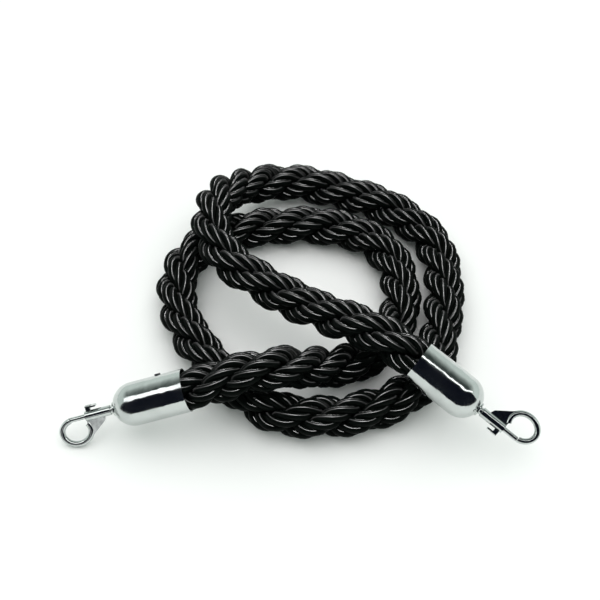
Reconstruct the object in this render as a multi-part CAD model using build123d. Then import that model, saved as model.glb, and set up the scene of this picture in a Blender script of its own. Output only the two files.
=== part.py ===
from build123d import *
from math import cos, pi, radians, sin, tan
import os

# Barrier rope: a three-strand rope lying on the ground in two loops, with a chrome end cap
# and a swivelling bolt-snap hook on each end. Millimetres, +Z up, the ground at Z = 0.
# Each fitting is drawn along its own X axis, which leaves the cap through its nose, with
# X = 0 at the cap's mouth. Its own Y points towards the hook's ring.

# Rope
rope_dia = 32.0
neck_reach = 10.0          # length of the squeezed neck inside each cap
end_length = 26.0          # length of the glued, bound end beyond the neck
end_chamfer = 2.0

# End cap
cap_od = 31.0
cap_wall = 0.8
cap_straight = 38.5        # mouth to the start of the dome
nose_face = 53.0           # mouth to the flat on the nose
nose_wall = 1.1
shank_dia = 7.0            # nose hole, filled by the collar's shank

# Cap screw
screw_place = 17.5         # distance from the mouth
screw_dia = 2.6
screw_length = 7.0
screw_head_dia = 4.4
screw_head_height = 0.9
screw_head_round = 0.35
recess_depth = 0.5
recess_length = 2.6
recess_width = 0.7

# Nose collar and swivel
collar_dia = 10.4
collar_height = 1.2
collar_chamfer = 0.4
stud_dia = 4.0
stud_clearance = 0.08      # running fit of the stud in the collar, on the radius
swivel_gap = 0.3           # end play of the swivel, at each face
washer_dia = 11.0
washer_height = 1.0
washer_clearance = 0.3
nut_width = 7.0
nut_height = 3.2
stud_beyond_nut = 0.8
stud_in_barrel = 3.6
stud_chamfer = 0.4

# Hook barrel
neck_dia = 5.6
neck_length = 1.5
barrel_dia = 7.2
barrel_length = 19.0
barrel_edge = 0.5
chamber_floor = 1.0        # wall between the stud's socket and the spring's bore

# Sliding bolt
bolt_dia = 3.6
bolt_clearance = 0.08      # running fit of the bolt in the barrel, on the radius
bolt_reach = 11.6          # how far the closed bolt stands out of the barrel
bolt_tail = 5.0            # how far it stays in the barrel when closed
bolt_travel = 7.5
bolt_tip_edge = 0.5
seat_gap = 0.3             # between the bolt's tip and the ring's end

# Thumb tab
post_width = 2.0
post_length = 3.4
post_from_front = 1.4      # post's front face to the barrel's front face
post_root = 0.6            # how far the post's foot is below the bolt's axis
slot_clearance = 0.2
tab_height = 7.0           # tab's top above the bolt's axis
tab_thickness = 1.1
tab_length = 8.0
tab_width = 4.6
tab_round = 0.8
rib_count = 4
rib_size = 0.5
rib_pitch = 1.2
rib_length = 3.7

# Ring and web
ring_wire = 4.4
ring_half_length = 10.6    # half axes of the ring's centre line
ring_half_height = 9.0
ring_ahead = 9.8           # ring's centre ahead of the barrel's front face
ring_below = 9.2           # ring's centre below the bolt's axis
ring_start_angle = -95.0   # the ring's free end, before it is cut off at the bolt's tip
ring_root_angle = 207.0    # the ring's root, at the barrel

# Web between the barrel and the ring, its corners measured back from the barrel's front face
web_thickness = 3.0
web_back = 15.5
web_shoulder = 12.4
web_shoulder_drop = 6.3    # shoulder's depth below the bolt's axis
web_middle = 4.0
web_middle_drop = 12.4
web_front = 1.0
web_lip = 0.4              # how far the front edge's middle stands ahead of the barrel
web_lip_drop = 5.3
web_foot_angle = 123.0     # where the foot meets the ring
web_foot_reach = 1.6       # how far the foot reaches outside the ring's centre line

# Bolt spring
spring_wire = 0.45
spring_play = 0.28         # between the spring and its bore, on the radius
spring_turns = 6.0
spring_gap = 0.1

# Turns of the fittings about their own axes, from level towards the fitting's left, up positive
left_swivel = -51.5
right_swivel = 27.0
left_screw_turn = 140.0
right_screw_turn = -130.0

# The rope's route, from the left cap's mouth to the right cap's mouth. The caps stand on
# its ends and point along its first and last runs.
route = [
    (-77, 2, 38), (-54, 5, 44), (-31, 9, 51), (-5, 16, 47), (22, 30, 26), (48, 43, 16),
    (72, 68, 16), (82, 104, 16), (77, 144, 16), (54, 173, 16), (18, 183, 16), (-28, 182, 16),
    (-70, 168, 16), (-95, 136, 16), (-93, 94, 16), (-76, 58, 16), (-49, 24, 16), (-18, -4, 16),
    (26, -7, 16), (70, 5, 16), (99, 33, 16), (109, 74, 16), (116, 121, 16), (110, 166, 16),
    (82, 199, 16), (42, 220, 16), (-6, 235, 16), (-39, 220, 25), (-61, 192, 44), (-68, 160, 53),
    (-65, 132, 52), (-48, 108, 49), (-17, 88, 44), (15, 66, 46), (43, 46, 56), (66, 31, 58),
    (84.5, 18, 50.5),
]

# Worked out from the sizes above
cap_radius = cap_od / 2
cap_bore = cap_od - 2 * cap_wall
rope_end_stop = neck_reach + end_length
nose_inside = nose_face - nose_wall
collar_front = nose_face + collar_height
neck_start = collar_front + swivel_gap
barrel_start = neck_start + neck_length
barrel_front = barrel_start + barrel_length
washer_back = nose_inside - washer_height
nut_front = washer_back - swivel_gap
nut_back = nut_front - nut_height
stud_back = nut_back - stud_beyond_nut
stud_front = neck_start + stud_in_barrel
chamber_start = stud_front + chamber_floor
bolt_bore = bolt_dia + 2 * bolt_clearance
spring_dia = bolt_bore - 2 * spring_play
bolt_tip = barrel_front + bolt_reach
bolt_back = barrel_front - bolt_tail
ring_end_face = bolt_tip + seat_gap
ring_x = barrel_front + ring_ahead
post_front = barrel_front - post_from_front
post_back = post_front - post_length


def rod(start, end, diameter):
    """A round bar along the fitting's axis, from start to end."""
    return Plane.YZ.offset(start) * extrude(Circle(diameter / 2), end - start)


def tube(start, end, outer, inner):
    """A round tube along the fitting's axis."""
    return Plane.YZ.offset(start) * extrude(Circle(outer / 2) - Circle(inner / 2), end - start)


def block(x_span, y_span, width):
    """A block in the fitting's frame, centred on its middle plane."""
    size_x = x_span[1] - x_span[0]
    size_y = y_span[1] - y_span[0]
    place = Pos((x_span[0] + x_span[1]) / 2, (y_span[0] + y_span[1]) / 2, 0)
    return place * Box(size_x, size_y, width)


def domed_bar(radius, flat):
    """A bar with a round dome whose end is cut off flat, both centred on the dome's middle."""
    bar = rod(0, cap_straight, 2 * radius)
    dome = Pos(cap_straight, 0, 0) * Sphere(radius)
    return (bar + dome) & rod(0, flat, 4 * radius)


def turn_about_axis(shape, angle):
    return Rot(angle, 0, 0) * shape


def end_cap(screw_turn):
    """Thin cup with a domed nose, a hole for the collar and one for the screw."""
    shell = domed_bar(cap_radius, nose_face) - domed_bar(cap_bore / 2, nose_inside)
    shell -= rod(nose_inside, nose_face, shank_dia)
    hole = Rot(90, 0, 0) * Cylinder(screw_dia / 2, cap_radius)
    hole = Pos(screw_place, cap_radius / 2, 0) * hole
    return shell - turn_about_axis(hole, screw_turn)


def cap_screw(screw_turn):
    """Pan-head screw through the cap's wall into the rope's bound end, with a cross recess."""
    head_top = cap_radius + screw_head_height
    head_bottom = cap_radius - screw_head_height / 3
    upright = Rot(-90, 0, 0)
    head = upright * Cylinder(screw_head_dia / 2, head_top - head_bottom)
    head = fillet(head.edges().group_by(Axis.Y)[-1], screw_head_round)
    head = Pos(screw_place, (head_top + head_bottom) / 2, 0) * head
    bar = Box(recess_length, 2 * recess_depth, recess_width)
    head -= Pos(screw_place, head_top, 0) * (bar + Rot(0, 90, 0) * bar)
    head -= domed_bar(cap_radius, nose_face)
    shank_top = cap_radius + screw_head_height / 4
    shank = Pos(screw_place, shank_top - screw_length / 2, 0)
    shank *= upright * Cylinder(screw_dia / 2, screw_length)
    return turn_about_axis(head + shank, screw_turn)


def rope_end(screw_turn):
    """Glued and bound end of the rope inside the cap, with the hole that the screw cuts."""
    plug = rod(neck_reach, rope_end_stop, cap_bore)
    plug = chamfer(plug.edges().group_by(Axis.X)[-1], end_chamfer)
    hole = Rot(90, 0, 0) * Cylinder(screw_dia / 2, 2 * screw_length)
    hole = Pos(screw_place, cap_radius, 0) * hole
    return plug - turn_about_axis(hole, screw_turn)


def nose_collar():
    """Flanged bush pressed into the nose: the hook's stud turns in it."""
    flange = rod(nose_face, collar_front, collar_dia)
    flange = chamfer(flange.edges().group_by(Axis.X)[-1], collar_chamfer)
    shank = rod(nose_inside, nose_face, shank_dia)
    bore = rod(0, 2 * nose_face, stud_dia + 2 * stud_clearance)
    return flange + shank - bore


def swivel_washer():
    bore = stud_dia + 2 * washer_clearance
    return tube(washer_back, nose_inside, washer_dia, bore)


def swivel_nut():
    hexagon = RegularPolygon(nut_width / 2, 6, major_radius=False)
    return Plane.YZ.offset(nut_back) * extrude(hexagon - Circle(stud_dia / 2), nut_height)


def swivel_stud():
    stud = rod(stud_back, stud_front, stud_dia)
    return chamfer(stud.edges().group_by(Axis.X)[0], stud_chamfer)


def ring_loop():
    """The hook's ring: a round wire on an ellipse, cut off square in front of the bolt."""
    centre = (ring_x, ring_below)
    arc = ring_root_angle - ring_start_angle
    path = EllipticalCenterArc(
        centre, ring_half_length, ring_half_height, start_angle=ring_start_angle, arc_size=arc
    )
    section = Plane(origin=path @ 0, z_dir=path % 0) * Circle(ring_wire / 2)
    wire = sweep(section, path=path)
    gap = block((barrel_front, ring_end_face), (-barrel_dia, barrel_dia / 2), barrel_dia)
    return wire - gap


def on_ring(angle, outside=0):
    """A point of the ring's centre line, or one that far outside it."""
    x = ring_x + (ring_half_length + outside) * cos(radians(angle))
    y = ring_below + (ring_half_height + outside) * sin(radians(angle))
    return x, y


def web_plate():
    """Flat web between the barrel's underside and the root of the ring."""
    points = [
        (barrel_front - web_back, 0),
        (barrel_front - web_front, 0),
        (barrel_front + web_lip, web_lip_drop),
        on_ring(180),
        on_ring(web_foot_angle),
        on_ring(web_foot_angle, web_foot_reach),
        (barrel_front - web_middle, web_middle_drop),
        (barrel_front - web_shoulder, web_shoulder_drop),
    ]
    outline = make_face(Polyline(*points, close=True))
    return extrude(outline, web_thickness / 2, both=True)


def hook_frame():
    """One casting: barrel with its bore and slot, web and ring."""
    neck = rod(neck_start, barrel_start, neck_dia)
    barrel = rod(barrel_start, barrel_front, barrel_dia)
    barrel = fillet(barrel.edges().group_by(Axis.X)[0], barrel_edge)
    frame = neck + barrel + web_plate() + ring_loop()
    frame -= rod(neck_start, stud_front, stud_dia)
    frame -= rod(chamber_start, barrel_front, bolt_bore)
    slot_x = (post_back - bolt_travel - slot_clearance, post_front + slot_clearance)
    frame -= block(slot_x, (-barrel_dia, 0), post_width + 2 * slot_clearance)
    return frame


def bolt():
    """Plunger that closes the ring, with a pocket for the thumb tab's post."""
    bar = rod(bolt_back, bolt_tip, bolt_dia)
    bar = chamfer(bar.edges().group_by(Axis.X)[-1], bolt_tip_edge)
    return bar - block((post_back, post_front), (-bolt_dia, post_root), post_width)


def thumb_tab():
    """Post in the barrel's slot with a ribbed bar on top, which a thumb draws back."""
    post = block((post_back, post_front), (-tab_height + tab_thickness, post_root), post_width)
    bar_x = (post_front - tab_length, post_front)
    bar = block(bar_x, (-tab_height, -tab_height + tab_thickness), tab_width)
    bar = fillet(bar.edges().filter_by(Axis.Y), tab_round)
    tab = post + bar
    for index in range(rib_count):
        at = post_front - rib_size - index * rib_pitch
        tab += Pos(at, -tab_height, 0) * Box(rib_size, 2 * rib_size, rib_length)
    return tab


def bolt_spring():
    """Compression spring between the chamber's floor and the bolt's tail, drawn closed."""
    length = bolt_back - chamber_start - 2 * spring_gap - spring_wire
    radius = (spring_dia - spring_wire) / 2
    helix = Helix(pitch=length / spring_turns, height=length, radius=radius)
    section = Plane(origin=helix @ 0, z_dir=helix % 0) * Circle(spring_wire / 2)
    coil = sweep(section, path=helix, is_frenet=True)
    return Pos(chamber_start + spring_gap + spring_wire / 2, 0, 0) * Rot(0, 90, 0) * coil


def corner_radii(points):
    """Each bend as wide as its runs allow: 0.45 of the shorter run over tan(half the turn)."""
    radii = []
    for before, corner, after in zip(points, points[1:], points[2:]):
        incoming = corner - before
        outgoing = after - corner
        shorter = min(incoming.length, outgoing.length)
        half_turn = radians(incoming.get_angle(outgoing) / 2)
        radii.append(0.45 * shorter / tan(half_turn))
    return radii


def rope_and_mouths():
    """The rope's tube with its two necks, and the planes of the caps' mouths."""
    points = [Vector(*point) for point in route]
    radii = corner_radii(points)
    path = FilletPolyline(*points, radius=radii)
    outward = [(points[0] - points[1]).normalized(), (points[-1] - points[-2]).normalized()]
    section = Plane(origin=points[0], z_dir=outward[0] * -1) * Circle(rope_dia / 2)
    body = sweep(section, path=path)
    expected = pi * (rope_dia / 2) ** 2 * path.length
    print("rope length", round(path.length, 1), "volume ratio", round(body.volume / expected, 5))
    print("bend radii", [round(radius) for radius in radii])
    for mouth, direction in zip((points[0], points[-1]), outward):
        neck = extrude(Plane(origin=mouth, z_dir=direction) * Circle(cap_bore / 2), neck_reach)
        body += neck
    return body, (points[0], points[-1]), outward


def fitting_plane(mouth, outward, turn):
    """The fitting's frame: X outward along the cap, Y turned about it from level."""
    level = Vector(-outward.Y, outward.X, 0).normalized()
    upward = outward.cross(level)
    towards_ring = level * cos(radians(turn)) + upward * sin(radians(turn))
    return Plane(origin=mouth, x_dir=outward, z_dir=outward.cross(towards_ring))


def write(name, shape):
    shape.label = name
    export_step(shape, os.path.join("parts", name + ".step"))


def fitting(side, mouth, outward, swivel, screw_turn):
    """All pieces of one end, the hook's own pieces turned with the swivel."""
    level = fitting_plane(mouth, outward, 0).location
    hook = fitting_plane(mouth, outward, swivel).location
    still = {
        "end_cap": end_cap(screw_turn),
        "cap_screw": cap_screw(screw_turn),
        "rope_end": rope_end(screw_turn),
        "nose_collar": nose_collar(),
        "swivel_washer": swivel_washer(),
    }
    turning = {
        "swivel_stud": swivel_stud(),
        "swivel_nut": swivel_nut(),
        "hook_frame": hook_frame(),
        "bolt": bolt(),
        "thumb_tab": thumb_tab(),
        "bolt_spring": bolt_spring(),
    }
    for name, shape in still.items():
        write(side + "_" + name, level * shape)
    for name, shape in turning.items():
        write(side + "_" + name, hook * shape)


os.makedirs("parts", exist_ok=True)
rope, mouths, outwards = rope_and_mouths()
write("rope", rope)
fitting("left", mouths[0], outwards[0], left_swivel, left_screw_turn)
fitting("right", mouths[1], outwards[1], right_swivel, right_screw_turn)
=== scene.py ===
import bmesh
import bpy
from math import cos, pi, radians, sin
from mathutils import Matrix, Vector


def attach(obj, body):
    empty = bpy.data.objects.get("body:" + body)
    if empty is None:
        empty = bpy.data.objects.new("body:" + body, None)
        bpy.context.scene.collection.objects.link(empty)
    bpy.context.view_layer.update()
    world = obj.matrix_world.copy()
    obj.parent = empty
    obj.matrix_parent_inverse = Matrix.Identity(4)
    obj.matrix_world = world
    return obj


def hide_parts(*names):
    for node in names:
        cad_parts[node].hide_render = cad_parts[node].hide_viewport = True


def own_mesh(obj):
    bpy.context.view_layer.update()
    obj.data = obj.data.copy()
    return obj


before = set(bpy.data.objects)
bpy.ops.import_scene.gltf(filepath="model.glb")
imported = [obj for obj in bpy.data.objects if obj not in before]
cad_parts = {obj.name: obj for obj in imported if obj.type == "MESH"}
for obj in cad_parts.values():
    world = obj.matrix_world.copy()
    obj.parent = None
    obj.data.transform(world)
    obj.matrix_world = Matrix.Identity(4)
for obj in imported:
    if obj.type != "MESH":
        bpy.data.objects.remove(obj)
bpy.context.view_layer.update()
print("frame loaded, nodes:", len(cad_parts))

sides = ("left", "right")
stillBody = "rope_and_caps"


def deselectAll():
    if bpy.context.mode != "OBJECT":
        bpy.ops.object.mode_set(mode="OBJECT")
    bpy.ops.object.select_all(action="DESELECT")


def startMaterial(name):
    material = bpy.data.materials.new(name)
    material.use_nodes = True
    tree = material.node_tree
    shader = tree.nodes["Principled BSDF"]
    return material, tree, shader


def addNode(tree, kind, **sockets):
    node = tree.nodes.new(kind)
    for name, value in sockets.items():
        node.inputs[name].default_value = value
    return node


def colourRamp(tree, factor, stops):  # stops are (place, colour)
    ramp = tree.nodes.new("ShaderNodeValToRGB")
    elements = ramp.color_ramp.elements
    while len(elements) < len(stops):
        elements.new(0.5)
    for element, (place, colour) in zip(elements, stops):
        element.position = place
        element.color = (*colour, 1) if len(colour) == 3 else colour
    tree.links.new(factor, ramp.inputs["Fac"])
    return ramp.outputs["Color"]


def grey(value):
    return (value, value, value)


def addBump(tree, shader, height, strength, distance):
    bump = addNode(tree, "ShaderNodeBump", Strength=strength, Distance=distance)
    tree.links.new(height, bump.inputs["Height"])
    tree.links.new(bump.outputs["Normal"], shader.inputs["Normal"])


satinLook = {
    "dark": (0.0010, 0.0014, 0.0012),
    "pale": (0.004, 0.0056, 0.0048),
    "fibresAround": 26,       # fibre streaks round one yarn
    "fibreTwist": 0.55,       # turns of a fibre for each round of the yarn's length
    "streakLength": 0.35,
    "roughness": (0.27, 0.34),
    "bounce": 1.09,           # index that sets how much the satin mirrors
    "stretch": 1.0,           # highlight drawn out along the yarn
    "stretchTurn": 0.25,      # quarter turn, so that the highlight follows the yarn
    "fibreDetail": 3.0,
    "fibreGrain": 0.6,
    "colourEnds": (0.3, 0.7),
    "fibreStrength": 0.06,
    "fibreDepth": 0.00015,
}


def makeSatin(name, look):
    material, tree, shader = startMaterial(name)
    uv = tree.nodes.new("ShaderNodeUVMap")
    uv.uv_map = "yarn"
    split = tree.nodes.new("ShaderNodeSeparateXYZ")
    tree.links.new(uv.outputs["UV"], split.inputs[0])
    lean = addNode(tree, "ShaderNodeMath")  # fibres wind round the yarn
    lean.operation = "MULTIPLY_ADD"
    lean.inputs[1].default_value = look["fibreTwist"]
    tree.links.new(split.outputs["Y"], lean.inputs[0])
    tree.links.new(split.outputs["X"], lean.inputs[2])
    around = addNode(tree, "ShaderNodeMath")
    around.operation = "MULTIPLY"
    around.inputs[1].default_value = look["fibresAround"]
    tree.links.new(lean.outputs[0], around.inputs[0])
    along = addNode(tree, "ShaderNodeMath")
    along.operation = "MULTIPLY"
    along.inputs[1].default_value = look["streakLength"]
    tree.links.new(split.outputs["Y"], along.inputs[0])
    join = tree.nodes.new("ShaderNodeCombineXYZ")
    tree.links.new(around.outputs[0], join.inputs["X"])
    tree.links.new(along.outputs[0], join.inputs["Y"])
    fibres = addNode(tree, "ShaderNodeTexNoise", Scale=1.0, Detail=look["fibreDetail"],
                     Roughness=look["fibreGrain"])
    tree.links.new(join.outputs[0], fibres.inputs["Vector"])
    height = fibres.outputs["Fac"]
    start, end = look["colourEnds"]
    colour = colourRamp(tree, height, [(start, look["dark"]), (end, look["pale"])])
    tree.links.new(colour, shader.inputs["Base Color"])
    low, high = look["roughness"]
    rough = colourRamp(tree, height, [(start, grey(high)), (end, grey(low))])
    tree.links.new(rough, shader.inputs["Roughness"])
    shader.inputs["IOR"].default_value = look["bounce"]
    shader.inputs["Anisotropic"].default_value = look["stretch"]
    shader.inputs["Anisotropic Rotation"].default_value = look["stretchTurn"]
    tangent = tree.nodes.new("ShaderNodeTangent")
    tangent.direction_type = "UV_MAP"
    tangent.uv_map = "yarn"
    tree.links.new(tangent.outputs[0], shader.inputs["Tangent"])
    addBump(tree, shader, height, look["fibreStrength"], look["fibreDepth"])
    return material


chromeLook = {
    "colour": (0.57, 0.60, 0.59),
    "smudge": (0.49, 0.52, 0.51),
    "roughness": (0.08, 0.17),
    "smudgeScale": 55,
    "smudgeDetail": 4.0,
    "colourEnds": (0.35, 0.6),
    "roughEnds": (0.35, 0.62),
    "rippleScale": 130,
    "rippleDetail": 1.5,
    "rippleStrength": 0.25,
    "rippleDepth": 0.0011,
}
hookLook = dict(chromeLook, roughness=(0.06, 0.16), smudgeScale=160, rippleScale=320, rippleDepth=0.0003)
steelLook = dict(chromeLook, colour=(0.58, 0.59, 0.6), smudge=(0.45, 0.46, 0.47), roughness=(0.22, 0.34),
                 smudgeScale=300, rippleScale=900, rippleDepth=0.00003)
screwLook = dict(chromeLook, colour=(0.12, 0.12, 0.13), smudge=(0.06, 0.06, 0.07), roughness=(0.25, 0.4),
                 smudgeScale=400)


def makeMetal(name, look):
    material, tree, shader = startMaterial(name)
    place = tree.nodes.new("ShaderNodeTexCoord")
    smudges = addNode(tree, "ShaderNodeTexNoise", Scale=look["smudgeScale"],
                      Detail=look["smudgeDetail"])
    ripples = addNode(tree, "ShaderNodeTexNoise", Scale=look["rippleScale"],
                      Detail=look["rippleDetail"])
    for texture in (smudges, ripples):
        tree.links.new(place.outputs["Object"], texture.inputs["Vector"])
    start, end = look["colourEnds"]
    colour = colourRamp(tree, smudges.outputs["Fac"], [(start, look["smudge"]), (end, look["colour"])])
    tree.links.new(colour, shader.inputs["Base Color"])
    low, high = look["roughness"]
    start, end = look["roughEnds"]
    rough = colourRamp(tree, smudges.outputs["Fac"], [(start, grey(high)), (end, grey(low))])
    tree.links.new(rough, shader.inputs["Roughness"])
    shader.inputs["Metallic"].default_value = 1.0
    addBump(tree, shader, ripples.outputs["Fac"], look["rippleStrength"], look["rippleDepth"])
    return material


boundLook = {
    "dark": (0.0012, 0.0016, 0.0014),
    "pale": (0.009, 0.011, 0.010),
    "colourEnds": (0.35, 0.7),
    "fibreScale": 420,
    "fibreDetail": 4.0,
    "stretch": 9,
    "roughness": 0.7,
    "bounce": 1.2,
    "fibreStrength": 0.5,
    "fibreDepth": 0.0003,
}


def makeBound(name, look):  # fibre ends pressed together inside a cap
    material, tree, shader = startMaterial(name)
    place = tree.nodes.new("ShaderNodeTexCoord")
    mapping = addNode(tree, "ShaderNodeMapping", Scale=(1.0, look["stretch"], look["stretch"]))
    fibres = addNode(tree, "ShaderNodeTexNoise", Scale=look["fibreScale"] / look["stretch"],
                     Detail=look["fibreDetail"])
    tree.links.new(place.outputs["Object"], mapping.inputs["Vector"])
    tree.links.new(mapping.outputs[0], fibres.inputs["Vector"])
    start, end = look["colourEnds"]
    colour = colourRamp(tree, fibres.outputs["Fac"], [(start, look["dark"]), (end, look["pale"])])
    tree.links.new(colour, shader.inputs["Base Color"])
    shader.inputs["Roughness"].default_value = look["roughness"]
    shader.inputs["IOR"].default_value = look["bounce"]
    addBump(tree, shader, fibres.outputs["Fac"], look["fibreStrength"], look["fibreDepth"])
    return material


satin = makeSatin("ropeSatin", satinLook)
boundEnd = makeBound("boundEnd", boundLook)
capChrome = makeMetal("capChrome", chromeLook)
hookChrome = makeMetal("hookChrome", hookLook)
steel = makeMetal("swivelSteel", steelLook)
screwSteel = makeMetal("screwSteel", screwLook)
print("materials made")


def paint(nodeName, material):  # a CAD node keeps its mesh and gets a finish
    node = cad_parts[nodeName]
    node.data.materials.clear()
    node.data.materials.append(material)


finishes = {
    "end_cap": capChrome,
    "cap_screw": screwSteel,
    "rope_end": boundEnd,
    "nose_collar": capChrome,
    "swivel_washer": steel,
    "swivel_nut": steel,
    "swivel_stud": steel,
    "hook_frame": hookChrome,
    "bolt": hookChrome,
    "thumb_tab": hookChrome,
    "bolt_spring": steel,
}
for side in sides:
    for part, material in finishes.items():
        paint(side + "_" + part, material)

ropeRoute = [
    (-0.077, 0.002, 0.038), (-0.054, 0.005, 0.044), (-0.031, 0.009, 0.051),
    (-0.005, 0.016, 0.047), (0.022, 0.030, 0.026), (0.048, 0.043, 0.016),
    (0.072, 0.068, 0.016), (0.082, 0.104, 0.016), (0.077, 0.144, 0.016),
    (0.054, 0.173, 0.016), (0.018, 0.183, 0.016), (-0.028, 0.182, 0.016),
    (-0.070, 0.168, 0.016), (-0.095, 0.136, 0.016), (-0.093, 0.094, 0.016),
    (-0.076, 0.058, 0.016), (-0.049, 0.024, 0.016), (-0.018, -0.004, 0.016),
    (0.026, -0.007, 0.016), (0.070, 0.005, 0.016), (0.099, 0.033, 0.016),
    (0.109, 0.074, 0.016), (0.116, 0.121, 0.016), (0.110, 0.166, 0.016),
    (0.082, 0.199, 0.016), (0.042, 0.220, 0.016), (-0.006, 0.235, 0.016),
    (-0.039, 0.220, 0.025), (-0.061, 0.192, 0.044), (-0.068, 0.160, 0.053),
    (-0.065, 0.132, 0.052), (-0.048, 0.108, 0.049), (-0.017, 0.088, 0.044),
    (0.015, 0.066, 0.046), (0.043, 0.046, 0.056), (0.066, 0.031, 0.058),
    (0.0845, 0.018, 0.0505),
]
rope = {
    "diameter": 0.032,
    "lay": 0.087,            # length of one turn of the strands, left-hand
    "strands": 3,
    "strandPlace": 0.0084,   # strand's middle to the rope's middle
    "yarns": 4,
    "yarnPlace": 0.0046,     # yarn's middle to the strand's middle
    "yarnHeight": 0.0030,    # half sizes of a yarn, which its neighbours press flat
    "yarnWidth": 0.0031,
    "yarnLay": 0.0255,       # one turn of the yarns about the strand, right-hand
    "yarnSides": 9,
    "step": 0.0016,
    "mouthSqueeze": 0.915,   # width at the caps' mouths
    "squeezeLength": 0.009,
    "insideCap": 0.007,      # how far the strands run into each cap
    "turn": 1.6,
    "lineSteps": 16,
    "strandWander": ((0.10, 31, 2), (0.06, 73, 1)),  # size, pace, and start for each strand
    "yarnWander": (0.15, 47, 1.7),
    "yarnShift": 1.3,        # the strands' yarns don't start in step
}


def routeLine(points):  # the route's own smooth line, as Blender makes it
    curve = bpy.data.curves.new("ropeLine", "CURVE")
    curve.dimensions = "3D"
    curve.resolution_u = rope["lineSteps"]
    spline = curve.splines.new("NURBS")
    spline.points.add(len(points) - 1)
    for knot, place in zip(spline.points, points):
        knot.co = (*place, 1)
    spline.order_u = 3
    spline.use_endpoint_u = True
    holder = bpy.data.objects.new("ropeLine", curve)
    mesh = bpy.data.meshes.new_from_object(holder)
    line = [vertex.co.copy() for vertex in mesh.vertices]
    bpy.data.objects.remove(holder)
    bpy.data.curves.remove(curve)
    bpy.data.meshes.remove(mesh)
    return line


def evenLine(line, step):  # the same line with its points evenly spaced
    lengths = [0.0]
    for before, after in zip(line, line[1:]):
        lengths.append(lengths[-1] + (after - before).length)
    total = lengths[-1]
    count = round(total / step)
    points = []
    index = 0
    for number in range(count + 1):
        target = total * number / count
        while index < len(line) - 2 and lengths[index + 1] < target:
            index += 1
        share = (target - lengths[index]) / (lengths[index + 1] - lengths[index])
        points.append(line[index].lerp(line[index + 1], share))
    return points, total


def tangents(points):
    last = len(points) - 1
    return [(points[min(i + 1, last)] - points[max(i - 1, 0)]).normalized() for i in range(last + 1)]


def steadyFrames(points):  # side directions that don't twist along the line
    along = tangents(points)
    side = Vector((0, 0, 1)).cross(along[0]).normalized()
    frames = []
    for direction in along:
        side = (side - direction * side.dot(direction)).normalized()
        frames.append((direction, side, direction.cross(side)))
    return frames


def smoothStep(value):
    value = max(0.0, min(1.0, value))
    return value * value * (3 - 2 * value)


def buildRope(line):
    points, total = evenLine(line, rope["step"])
    steps = round(rope["insideCap"] / rope["step"])
    first = (points[0] - points[1]).normalized() * rope["step"]
    last = (points[-1] - points[-2]).normalized() * rope["step"]
    head = [points[0] + first * i for i in range(steps, 0, -1)]
    tail = [points[-1] + last * i for i in range(1, steps + 1)]
    points = head + points + tail
    frames = steadyFrames(points)
    spacing = total / (len(points) - 2 * steps - 1)
    vertices = []
    faces = []
    texture = []
    sidesCount = rope["yarnSides"]
    for strand in range(rope["strands"]):
        centres = []
        outwards = []
        for i, (point, (direction, side, up)) in enumerate(zip(points, frames)):
            travel = (i - steps) * spacing
            fromMouth = min(travel, total - travel)
            opening = smoothStep(fromMouth / rope["squeezeLength"])
            width = rope["mouthSqueeze"] + (1 - rope["mouthSqueeze"]) * opening
            angle = rope["turn"] - 2 * pi * travel / rope["lay"] + 2 * pi * strand / rope["strands"]
            for size, pace, start in rope["strandWander"]:
                angle += size * sin(travel * pace + start * strand)
            outward = side * cos(angle) + up * sin(angle)
            centres.append(point + outward * rope["strandPlace"] * width)
            outwards.append((outward, width))
        strandWays = tangents(centres)
        for yarn in range(rope["yarns"]):
            middles = []
            for i, (centre, way) in enumerate(zip(centres, strandWays)):
                outward, width = outwards[i]
                outward = (outward - way * outward.dot(way)).normalized()
                across = way.cross(outward)
                travel = (i - steps) * spacing
                angle = 2 * pi * travel / rope["yarnLay"] + 2 * pi * yarn / rope["yarns"]
                angle += rope["yarnShift"] * strand
                size, pace, start = rope["yarnWander"]
                angle += size * sin(travel * pace + start * strand)
                middle = centre + (outward * cos(angle) + across * sin(angle)) * rope["yarnPlace"] * width
                middles.append((middle, (middle - centre).normalized(), width))
            ways = tangents([middle for middle, out, width in middles])
            start = len(vertices)
            length = 0.0
            for i, (middle, out, width) in enumerate(middles):
                way = ways[i]
                out = (out - way * out.dot(way)).normalized()
                across = way.cross(out)
                if i:
                    length += (middle - middles[i - 1][0]).length
                height, half = rope["yarnHeight"] * width, rope["yarnWidth"] * width
                for corner in range(sidesCount):
                    angle = 2 * pi * corner / sidesCount
                    vertices.append(middle + out * cos(angle) * height + across * sin(angle) * half)
                if i:
                    for corner in range(sidesCount):
                        following = (corner + 1) % sidesCount
                        a = start + (i - 1) * sidesCount
                        b = start + i * sidesCount
                        faces.append((a + corner, a + following, b + following, b + corner))
                        rounds = pi * (rope["yarnHeight"] + rope["yarnWidth"])
                        low = (length - (middle - middles[i - 1][0]).length) / rounds
                        high = length / rounds
                        left, right = corner / sidesCount, (corner + 1) / sidesCount
                        texture += [(left, low), (right, low), (right, high), (left, high)]
            ends = (start, start + (len(middles) - 1) * sidesCount)
            faces.append(tuple(ends[0] + corner for corner in reversed(range(sidesCount))))
            faces.append(tuple(ends[1] + corner for corner in range(sidesCount)))
            texture += [(0.5, 0.0)] * sidesCount * 2
    mesh = bpy.data.meshes.new("twistedRope")
    mesh.from_pydata(vertices, [], faces)
    layer = mesh.uv_layers.new(name="yarn")
    for loop, place in zip(layer.data, texture):
        loop.uv = place
    mesh.polygons.foreach_set("use_smooth", [True] * len(mesh.polygons))
    mesh.update()
    piece = bpy.data.objects.new("twistedRope", mesh)
    bpy.context.scene.collection.objects.link(piece)
    mesh.materials.append(satin)
    return piece, total


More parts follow.
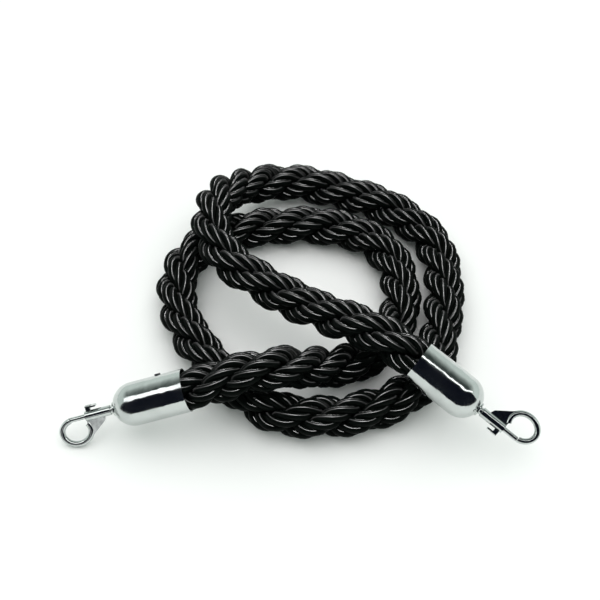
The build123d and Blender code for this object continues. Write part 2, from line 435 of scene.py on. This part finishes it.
ropeLine = routeLine(ropeRoute)
twistedRope, ropeLength = buildRope(ropeLine)
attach(twistedRope, stillBody)
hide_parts("rope")
print("rope made, length", round(ropeLength, 4), "faces", len(twistedRope.data.polygons))

spring = {
    "slot": "spring_steel",
    "mergeDistance": 0.000002,
}


def makeSpring(side):  # the coil that the bolt's tail presses together
    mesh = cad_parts[side + "_bolt_spring"].data.copy()
    shape = bmesh.new()
    shape.from_mesh(mesh)
    bmesh.ops.remove_doubles(shape, verts=shape.verts, dist=spring["mergeDistance"])
    shape.to_mesh(mesh)
    shape.free()
    mesh.materials.clear()
    mesh.materials.append(steel)
    mesh.polygons.foreach_set("use_smooth", [True] * len(mesh.polygons))
    piece = bpy.data.objects.new(side + "CoilSpring", mesh)
    bpy.context.scene.collection.objects.link(piece)
    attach(piece, side + "_hook")
    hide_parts(side + "_bolt_spring")
    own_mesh(piece)


for side in sides:
    makeSpring(side)

studio = {
    "floorSize": 60.0,
    "floorPlace": (0, 0.1, 0),
    "floorColour": (0.93, 0.93, 0.92),
    "floorCloud": (3.0, 2.0, 0.985),  # scale, detail, and how dark the cloud is
    "cloudEnds": (0.2, 0.8),
    "floorRoughness": 0.9,
    "floorShine": 0.1,
    "skyPower": 2.35,
    "skyAngle": 85,
    "skyTilt": -8,
    "wallColour": (0.82, 0.90, 0.86),
    "roofColour": (0.05, 0.065, 0.06),
    "wallEnds": (0.5, 0.88),
    "flagColour": (0.006, 0.007, 0.013),
    "flagPlace": (0, -1.3, 1.9),
    "flagSize": (7.0, 3.8),
}
panels = {  # place, what it points at, size, power, and what it shines on
    "leftStrip": {"place": (0.0, -0.23, 1.25), "target": (0, -0.1, 0), "size": (3.2, 0.52), "power": 10.5,
                  "on": "left"},
    "rightStrip": {"place": (0.0, -0.22, 1.25), "target": (0, -0.1, 0), "size": (3.2, 0.13), "power": 3.4,
                   "on": "right"},
    "glintTop": {"place": (0.0, -0.14, 1.2), "target": (0, 0.1, 0.02), "size": (0.3, 0.06), "power": 430,
                 "on": "rope"},
    "glintFar": {"place": (0.0, 0.95, 1.05), "target": (0, 0.1, 0.02), "size": (0.12, 0.06), "power": 240,
                 "on": "rope"},
    "hookCard": {"place": (-0.285, -0.475, 0.154), "target": (-0.145, -0.016, 0.013), "size": (0.12, 0.08),
                 "power": 0.024, "on": "leftHook"},
}


def makeFloor():
    deselectAll()
    bpy.ops.mesh.primitive_plane_add(size=studio["floorSize"], location=studio["floorPlace"])
    floor = bpy.context.object
    floor.name = "floor"
    bpy.ops.object.transform_apply(location=True, rotation=True, scale=True)
    material, tree, shader = startMaterial("paleFloor")
    place = tree.nodes.new("ShaderNodeTexCoord")
    scale, detail, dark = studio["floorCloud"]
    cloud = addNode(tree, "ShaderNodeTexNoise", Scale=scale, Detail=detail)
    tree.links.new(place.outputs["Object"], cloud.inputs["Vector"])
    base = studio["floorColour"]
    darker = tuple(dark * channel for channel in base)
    start, end = studio["cloudEnds"]
    colour = colourRamp(tree, cloud.outputs["Fac"], [(start, darker), (end, base)])
    tree.links.new(colour, shader.inputs["Base Color"])
    shader.inputs["Roughness"].default_value = studio["floorRoughness"]
    shader.inputs["Specular IOR Level"].default_value = studio["floorShine"]
    floor.data.materials.append(material)


def addPanel(name, panel):
    light = bpy.data.lights.new(name, "AREA")
    light.shape = "RECTANGLE"
    light.size, light.size_y = panel["size"]
    light.energy = panel["power"]
    holder = bpy.data.objects.new(name, light)
    bpy.context.scene.collection.objects.link(holder)
    holder.location = panel["place"]
    aim = Vector(panel["target"]) - Vector(panel["place"])
    holder.rotation_euler = aim.to_track_quat("-Z", "Y").to_euler()
    holder.visible_camera = False
    holder.visible_diffuse = False
    holder.light_linking.receiver_collection = receivers[panel["on"]]


def makeSky():  # the wide soft light from above, which nothing mirrors
    light = bpy.data.lights.new("softSky", "SUN")
    light.energy = studio["skyPower"]
    light.angle = radians(studio["skyAngle"])
    holder = bpy.data.objects.new("softSky", light)
    bpy.context.scene.collection.objects.link(holder)
    holder.rotation_euler = (radians(studio["skyTilt"]), 0, 0)
    holder.visible_glossy = False


def makeFlag():  # black cloth on the camera's side, that the chrome mirrors
    deselectAll()
    bpy.ops.mesh.primitive_plane_add(size=1, location=studio["flagPlace"], rotation=(radians(-90), 0, 0))
    flag = bpy.context.object
    flag.name = "flag"
    flag.scale = (*studio["flagSize"], 1)
    bpy.ops.object.transform_apply(location=True, rotation=True, scale=True)
    material, tree, shader = startMaterial("blackCloth")
    shader.inputs["Base Color"].default_value = (*studio["flagColour"], 1)
    shader.inputs["Roughness"].default_value = 1.0
    shader.inputs["Specular IOR Level"].default_value = 0.0
    flag.data.materials.append(material)
    flag.visible_camera = False
    flag.visible_diffuse = False
    flag.visible_shadow = False


def makeWorld():  # pale walls that darken towards the roof
    world = bpy.data.worlds.new("studio")
    bpy.context.scene.world = world
    world.use_nodes = True
    tree = world.node_tree
    background = tree.nodes["Background"]
    place = tree.nodes.new("ShaderNodeTexCoord")
    split = tree.nodes.new("ShaderNodeSeparateXYZ")
    tree.links.new(place.outputs["Generated"], split.inputs[0])
    wall, roof = studio["wallColour"], studio["roofColour"]
    start, end = studio["wallEnds"]
    colour = colourRamp(tree, split.outputs["Z"], [(start, wall), (end, roof)])
    tree.links.new(colour, background.inputs["Color"])
    background.inputs["Strength"].default_value = 1.0


receivers = {}
for name in ("rope", "left", "right", "leftHook"):
    receivers[name] = bpy.data.collections.new(name + "Receivers")
receivers["rope"].objects.link(twistedRope)
for side in sides:
    for part in finishes:
        receivers[side].objects.link(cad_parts[side + "_" + part])
receivers["leftHook"].objects.link(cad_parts["left_hook_frame"])
makeFloor()
makeSky()
makeFlag()
for name, panel in panels.items():
    addPanel(name, panel)
makeWorld()

cameraPlace = {"lens": 67.0, "sensor": 36.0, "place": (0.002, -0.451, 0.6756), "tilt": 40.0}
cameraData = bpy.data.cameras.new("camera")
cameraData.lens = cameraPlace["lens"]
cameraData.sensor_width = cameraPlace["sensor"]
camera = bpy.data.objects.new("camera", cameraData)
bpy.context.scene.collection.objects.link(camera)
camera.location = cameraPlace["place"]
camera.rotation_euler = (radians(cameraPlace["tilt"]), 0, 0)
bpy.context.scene.camera = camera
bpy.context.scene.view_settings.view_transform = "Standard"
print("studio made")
